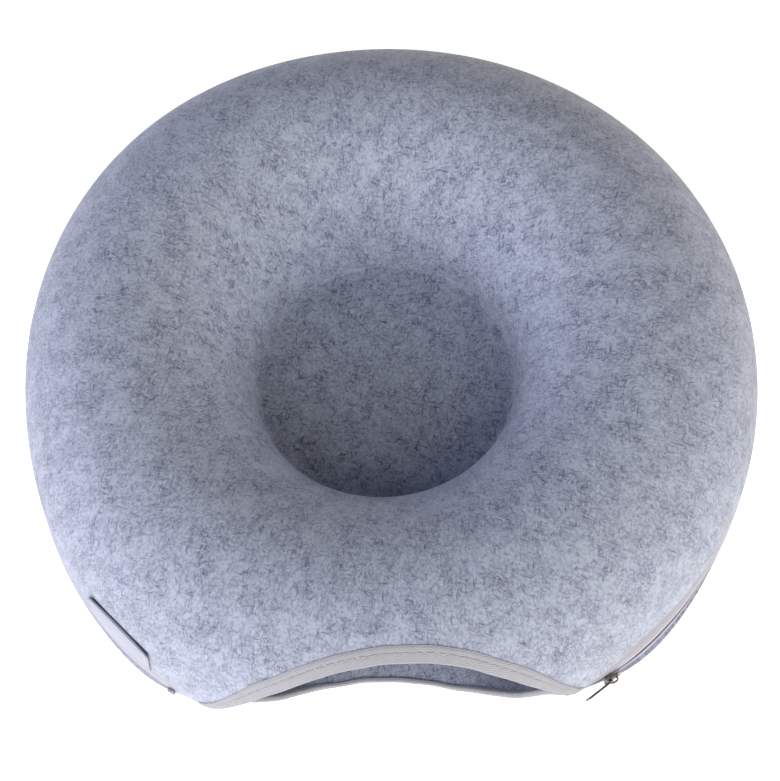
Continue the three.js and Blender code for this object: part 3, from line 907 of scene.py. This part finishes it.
def zip_tape(half, name, node):
    """One tape, from the slit back behind the felt's edge, parted between slider and opening."""
    parted = 1 - smooth(zip_azimuths, ZIP_FROM, ZIP_PARTED_FROM)
    slit = ZIP_SLIT_HALF + (ZIP_PARTED_HALF - ZIP_SLIT_HALF) * parted
    wide = smooth(np.abs(wrapped(zip_azimuths)), *ZIP_TAPE_NARROW)
    top = ZIP_NARROW_TOP + (ZIP_TAPE_TOP - ZIP_NARROW_TOP) * wide
    out_share = np.linspace(0, 1, ZIP_ROWS["out"])[None, :]
    back_share = np.linspace(0, 1, ZIP_ROWS["back"])[None, 1:]
    heights = np.concatenate(
        [slit + (ZIP_SEAM - slit) * out_share, ZIP_SEAM + (top - ZIP_SEAM) * back_share], axis=1
    )
    dive = ZIP_DEPTH + (ZIP_BEHIND - ZIP_DEPTH) * smooth(out_share, ZIP_DIVE_FROM, 1)
    depths = np.concatenate([dive, ZIP_BEHIND + 0 * back_share], axis=1)
    angles = np.degrees(np.arcsin(np.concatenate([heights, heights[:, ::-1]], axis=1) / MID))
    offsets = -np.concatenate([depths, depths[:, ::-1] + ZIP_TAPE], axis=1)
    points = surface(half, zip_azimuths, angles, offsets)
    along = math.radians(1) * OUTER_RADIUS * zip_azimuths + 0 * heights
    flat = np.stack([along, heights], axis=-1)
    places = np.concatenate([flat, flat[:, ::-1]], axis=1)
    piece = mesh_piece(name, loft(points), places, zip_weave)
    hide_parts(node)


def zip_coil():
    """The closed coil, coloured dark so that it also paints the shade in the slit as a dark line: a flat
    strip with a bead at each turn.
    """
    length = math.radians(COIL_TO - COIL_FROM) * COIL_FRONT
    columns = int(length / COIL_PITCH * COIL_STEPS)
    azimuth = np.linspace(COIL_FROM, COIL_TO, columns)[:, None]
    bead = np.abs(np.sin(np.pi * np.arange(columns) / COIL_STEPS))[:, None]
    turn = np.radians(np.linspace(0, 360, ROUND_POINTS, endpoint=False))[None, :]
    wide = COIL_HALF_WIDTH * (COIL_WAIST["wide"] + (1 - COIL_WAIST["wide"]) * bead)
    thick = COIL_THICK / 2 * (COIL_WAIST["thick"] + (1 - COIL_WAIST["thick"]) * bead)
    swell = out_of_round(UPPER, azimuth, 0)
    radius = COIL_FRONT - COIL_THICK / 2 + swell + thick * np.cos(turn)
    points = placed(azimuth, radius, wide * np.sin(turn))
    piece = mesh_piece("zip_coil", loft(points), None, coil_nylon_and_painted_slit_shade)
    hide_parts("zip_chain")


zip_tape(UPPER, "zip_upper_tape", "zip_tape_upper")
zip_tape(LOWER, "zip_lower_tape", "zip_tape_lower")
zip_coil()

# The small parts on the zip, in millimetres and degrees
SLIDER_AZIMUTH = 34.0
STOP_AZIMUTH = -34.5
SLIDER = {
    "length": 12,
    "wide": 9,
    "narrow": 6.6,
    "corner": 2.4,
    "plate": 1.4,
    "rim": 0.45,
    "front": 1.8,
    "back": -1.3,
}
POST = {"length": 2.5, "width": 2, "corner": 0.8, "rim": 0.05, "sunk": 0.3}
CROWN = {"length": 7, "top": 6.5, "bar": 1.3, "width": 2.2, "squareness": 0.5, "steps": 25}
PULL = {
    "length": 22,
    "width": 7,
    "thickness": 1.2,
    "rim": 0.36,
    "corner": 2.6,
    "taper": 0.8,
    "tilt": 6,
    "twist": 20,
}
EYE = {"rim": 1.5, "length": 4, "width": 3.4, "corner": 1.2, "pin": 1.2}
STOP = {"length": 5, "width": 7, "corner": 1.4, "thickness": 1.8, "rim": 0.5, "front": 0.3}
LOOP_POINTS = 48
CORNER_GATHER = 1.9
RIM_ROUND = 0.3
BAR_SQUARENESS = 0.6


def on_zip(azimuth):
    """Frame on the zip's line: x along it as the angle grows, y up, z outward, in millimetres."""
    place = Vector(surface(UPPER, azimuth, 0.0, -ZIP_DEPTH))
    along = Vector(surface(UPPER, azimuth + SLOPE_STEP, 0.0, -ZIP_DEPTH)) - place
    out = Vector(surface(UPPER, azimuth, 0.0, MM)) - place
    up = out.cross(along)
    out = along.cross(up)
    axes = Matrix([axis.normalized() for axis in (along, up, out)]).transposed().to_4x4()
    return Matrix.Translation(place) @ axes @ Matrix.Scale(MM, 4)


def rounded_loop(length, width, corner, taper=1.0):
    """A rounded rectangle's points, narrower towards +x by the taper."""
    turn = np.linspace(0, 2 * np.pi, LOOP_POINTS, endpoint=False) + np.pi / LOOP_POINTS
    quarter = np.floor(turn / (np.pi / 2))
    local = np.pi / 4 + quarter * np.pi / 2
    sharp = np.clip((turn - local) * CORNER_GATHER, -np.pi / 4, np.pi / 4) + local
    x = np.sign(np.cos(local)) * (length / 2 - corner) + corner * np.cos(sharp)
    y = np.sign(np.sin(local)) * (width / 2 - corner) + corner * np.sin(sharp)
    return np.stack([x, y * (1 + (taper - 1) * (x / length + 0.5))], axis=-1)


def plate(low, high, rim, loop, eye=None):
    """A plate with rounded rims between two heights, with an eye through it if there is one."""
    levels = [(rim, low), (RIM_ROUND * rim, low + RIM_ROUND * rim), (0, low + rim)]
    levels += [(inset, low + high - height) for inset, height in levels[::-1]]
    level = np.ones(LOOP_POINTS)
    rings = [np.column_stack([loop(inset), height * level]) for inset, height in levels]
    if eye is None:
        return loft(np.array(rings))
    rings += [np.column_stack([eye(inset), height * level]) for inset, height in levels[::-1]]
    return loft(np.array(rings), around=True)


def squared(wave, power):
    """A sine or cosine bulged out, so that a circle turns towards a square."""
    return np.sign(wave) * np.abs(wave) ** power


def bar_along(path, normals, half_width, half_thick):
    """A bar with rounded edges swept along a path in the xz plane."""
    turn = np.radians(np.linspace(0, 360, ROUND_POINTS, endpoint=False))
    side = squared(np.cos(turn), BAR_SQUARENESS) * half_width
    lift = squared(np.sin(turn), BAR_SQUARENESS) * half_thick
    points = path[:, None] + normals[:, None] * lift[None, :, None]
    points[:, :, 1] += side[None, :]
    return loft(points)


def fitted_piece(name, shells, place, node, material):
    """A small moulded or cast part, put in its place on the zip."""
    points, faces = joined(shells)
    moved = np.array([place @ Vector(point) for point in points])
    piece = mesh_piece(name, (moved, faces), None, material)
    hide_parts(node)


def zip_slider():
    """Two plates joined by a post at their wide end, with the crown that holds the pull."""
    taper = SLIDER["narrow"] / SLIDER["wide"]

    def body(inset):
        length = SLIDER["length"] - 2 * inset
        return rounded_loop(length, SLIDER["wide"] - 2 * inset, SLIDER["corner"] - inset, taper)

    front = plate(SLIDER["front"], SLIDER["front"] + SLIDER["plate"], SLIDER["rim"], body)
    back = plate(SLIDER["back"] - SLIDER["plate"], SLIDER["back"], SLIDER["rim"], body)

    def web(inset):
        length = POST["length"] - 2 * inset
        loop = rounded_loop(length, POST["width"] - 2 * inset, POST["corner"] - inset)
        return loop + (POST["length"] - SLIDER["length"] / 2, 0)

    post = plate(SLIDER["back"] - POST["sunk"], SLIDER["front"] + POST["sunk"], POST["rim"], web)
    base = SLIDER["front"] + SLIDER["plate"] / 2
    rise = CROWN["top"] - CROWN["bar"] / 2 - base
    reach = CROWN["length"] / 2 - CROWN["bar"] / 2
    turn = np.radians(np.linspace(180, 0, CROWN["steps"]))
    forth = reach * squared(np.cos(turn), CROWN["squareness"])
    path = np.column_stack([forth, 0 * turn, base + rise * np.sin(turn) ** CROWN["squareness"]])
    slope = np.gradient(path, axis=0)
    normals = np.column_stack([-slope[:, 2], 0 * turn, slope[:, 0]])
    normals /= np.linalg.norm(normals, axis=1)[:, None]
    crown = bar_along(path, normals, CROWN["width"] / 2, CROWN["bar"] / 2)
    shells = [front, back, post, crown]
    fitted_piece("zip_slider_body", shells, on_zip(SLIDER_AZIMUTH), "zip_slider", nickel)


def zip_pull():
    """A flat blade with an eye, hung in the crown and lying towards the opening."""
    middle = EYE["rim"] / 2 - PULL["length"] / 2
    eye_middle = -EYE["rim"] / 2 - EYE["length"] / 2

    def blade(inset):
        length = PULL["length"] - 2 * inset
        width = PULL["width"] - 2 * inset
        return rounded_loop(length, width, PULL["corner"] - inset, PULL["taper"]) + (middle, 0)

    def eye(inset):
        loop = rounded_loop(EYE["length"] + 2 * inset, EYE["width"] + 2 * inset, EYE["corner"])
        return loop + (eye_middle, 0)

    half = PULL["thickness"] / 2
    shell = plate(-half, half, PULL["rim"], blade, eye)
    crown_middle = (SLIDER["front"] + SLIDER["plate"] + CROWN["top"] - CROWN["bar"]) / 2
    pin = Vector((-EYE["pin"], 0, crown_middle))
    tilt = Matrix.Rotation(math.radians(PULL["tilt"]), 4, "Y")
    twist = Matrix.Rotation(math.radians(PULL["twist"]), 4, "X")
    place = on_zip(SLIDER_AZIMUTH) @ Matrix.Translation(pin) @ tilt @ twist
    fitted_piece("zip_pull_blade", [shell], place, "zip_pull", nickel)


def zip_stop():
    """A small moulded tab over the coil, near its end."""

    def tab(inset):
        length = STOP["length"] - 2 * inset
        return rounded_loop(length, STOP["width"] - 2 * inset, STOP["corner"] - inset)

    shell = plate(STOP["front"], STOP["front"] + STOP["thickness"], STOP["rim"], tab)
    fitted_piece("zip_stop_tab", [shell], on_zip(STOP_AZIMUTH), "zip_stop", stop_nylon)


zip_slider()
zip_pull()
zip_stop()

# Label, sewn in at the upper half's edge and left bare

# Its sides round the ring and its ends on the section, in degrees
LABEL = {"from": -51.0, "to": -38.0, "bottom": 7.4, "top": 22.8}
LABEL_THICK = 0.7 * MM
LABEL_OFF = 0.3 * MM
LABEL_LIFT = 1.2 * MM
LABEL_ARCH = 2.2
LABEL_CURL = 0.8
LABEL_COLUMNS = 60
LABEL_ROWS = 26


def label():
    """A strip with an arched top, whose upper corners curl off the felt."""
    azimuth = np.linspace(LABEL["from"], LABEL["to"], LABEL_COLUMNS)[:, None]
    share = np.linspace(0, 1, LABEL_ROWS)[None, :]
    across = np.linspace(-1, 1, LABEL_COLUMNS)[:, None]
    top = LABEL["top"] + LABEL_ARCH * (1 - across**2)
    angles = LABEL["bottom"] + (top - LABEL["bottom"]) * share
    curl = 1 - LABEL_CURL + LABEL_CURL * across**2
    lift = LABEL_LIFT * share**2 * curl + LABEL_OFF
    height = arc_per_degree(LABEL["bottom"]) * (LABEL["top"] - LABEL["bottom"])
    width = math.radians(LABEL["to"] - LABEL["from"]) * OUTER_RADIUS
    along = width * (across + 1) / 2 + 0 * share
    up = height * share + 0 * along
    places = np.stack([np.concatenate([a, a[:, ::-1]], axis=1) for a in (along, up)], axis=-1)
    both = np.concatenate([angles, angles[:, ::-1]], axis=1)
    offsets = np.concatenate([lift + LABEL_THICK, lift[:, ::-1]], axis=1)
    points = surface(UPPER, azimuth, both, offsets)
    piece = mesh_piece("label_strip", loft(points), places, satin_label(height))
    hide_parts("label")


label()

# Stage: a pale lit table, soft boxes and a dim room

FLOOR_SIDE = 40.0
FLOOR_GLOW = 0.74
FLOOR_TINT = "fffaf0"


def floor_sheet():
    """The table's top, lit from below so that it fades into the white behind."""
    material, _, _ = new_material(
        "pale_lit_table",
        Base_Color=linear("f4f4f6"),
        Roughness=0.8,
        Emission_Color=linear(FLOOR_TINT),
        Emission_Strength=FLOOR_GLOW,
    )
    half = FLOOR_SIDE / 2
    mesh = bpy.data.meshes.new("floor")
    corners = [(-half, -half, 0), (half, -half, 0), (half, half, 0), (-half, half, 0)]
    mesh.from_pydata(corners, [], [(0, 1, 2, 3)])
    floor = bpy.data.objects.new("floor", mesh)
    floor.data.materials.append(material)
    bpy.context.scene.collection.objects.link(floor)


floor_sheet()

# Soft boxes: direction round the object from the front, height, width, power and colour
SOFT_BOX_DISTANCE = 2.2
SOFT_BOX_HEIGHT = 0.8
SOFT_BOXES = [
    {"name": "front_low", "azimuth": 0, "elevation": 15, "wide": 1.8, "watts": 11, "colour": "fff4dc"},
    {"name": "front_mid", "azimuth": 0, "elevation": 30, "wide": 1.8, "watts": 18, "colour": "f1f6ff"},
    {"name": "front_high", "azimuth": 0, "elevation": 48, "wide": 1.8, "watts": 7, "colour": "fffae2"},
    {"name": "front_left", "azimuth": -50, "elevation": 15, "wide": 1.2, "watts": 7.5, "colour": "fff4e4"},
    {"name": "left", "azimuth": -90, "elevation": 20, "wide": 1.2, "watts": 22, "colour": "e6ebff"},
    {"name": "left_high", "azimuth": -70, "elevation": 45, "wide": 1.2, "watts": 5.5, "colour": "e6ebff"},
    {"name": "right", "azimuth": 90, "elevation": 20, "wide": 1.2, "watts": 18, "colour": "fffaf4"},
    {"name": "right_high", "azimuth": 70, "elevation": 45, "wide": 1.2, "watts": 4.5, "colour": "fff8e0"},
    {"name": "back", "azimuth": 180, "elevation": 25, "wide": 1.8, "watts": 3.5, "colour": "f4f6ff"},
]
ROOM_COLOUR = "f4f6f0"
ROOM_LIGHT = 0.025


def direction(azimuth, elevation):
    """Unit vector away from the object, by degrees round it from the front and above the table."""
    turn = math.radians(azimuth)
    lift = math.radians(elevation)
    return Vector((math.sin(turn) * math.cos(lift), -math.cos(turn) * math.cos(lift), math.sin(lift)))


for box in SOFT_BOXES:
    lamp = bpy.data.lights.new(box["name"] + "_soft_box", "AREA")
    lamp.shape = "RECTANGLE"
    lamp.size = box["wide"]
    lamp.size_y = SOFT_BOX_HEIGHT
    lamp.energy = box["watts"]
    lamp.color = linear(box["colour"])[:3]
    light = bpy.data.objects.new(lamp.name, lamp)
    light.visible_camera = False
    toward = direction(box["azimuth"], box["elevation"])
    light.location = RING_CENTRE + toward * SOFT_BOX_DISTANCE
    light.rotation_euler = toward.to_track_quat("Z", "Y").to_euler()
    bpy.context.scene.collection.objects.link(light)

world = bpy.data.worlds.new("dim_room")
world.use_nodes = True
world.node_tree.nodes["Background"].inputs["Color"].default_value = linear(ROOM_COLOUR)
world.node_tree.nodes["Background"].inputs["Strength"].default_value = ROOM_LIGHT
bpy.context.scene.world = world
bpy.context.scene.view_settings.view_transform = "Standard"

# Camera, from the place and turn that the photograph was taken at
VIEW_AZIMUTH = 6.5
VIEW_ELEVATION = 67.94
VIEW_DISTANCE = 1.114
VIEW_ROLL = -8.22
FOCAL_PIXELS = 1620
FRAME_WIDTH = 780
FRAME_HEIGHT = 781
CENTRE_PIXEL = (386.2, 383.5)
SENSOR = 36.0

camera_data = bpy.data.cameras.new("camera")
camera = bpy.data.objects.new("camera", camera_data)
bpy.context.scene.collection.objects.link(camera)
toward = direction(VIEW_AZIMUTH, VIEW_ELEVATION)
camera.location = RING_CENTRE + toward * VIEW_DISTANCE
roll = Matrix.Rotation(math.radians(VIEW_ROLL), 3, "Z")
looking = toward.to_track_quat("Z", "Y").to_matrix() @ roll
camera.rotation_euler = looking.to_euler()
long_side = max(FRAME_WIDTH, FRAME_HEIGHT)
camera_data.sensor_width = SENSOR
camera_data.lens = SENSOR * FOCAL_PIXELS / long_side
camera_data.shift_x = (FRAME_WIDTH / 2 - CENTRE_PIXEL[0]) / long_side
camera_data.shift_y = (CENTRE_PIXEL[1] - FRAME_HEIGHT / 2) / long_side
bpy.context.scene.camera = camera
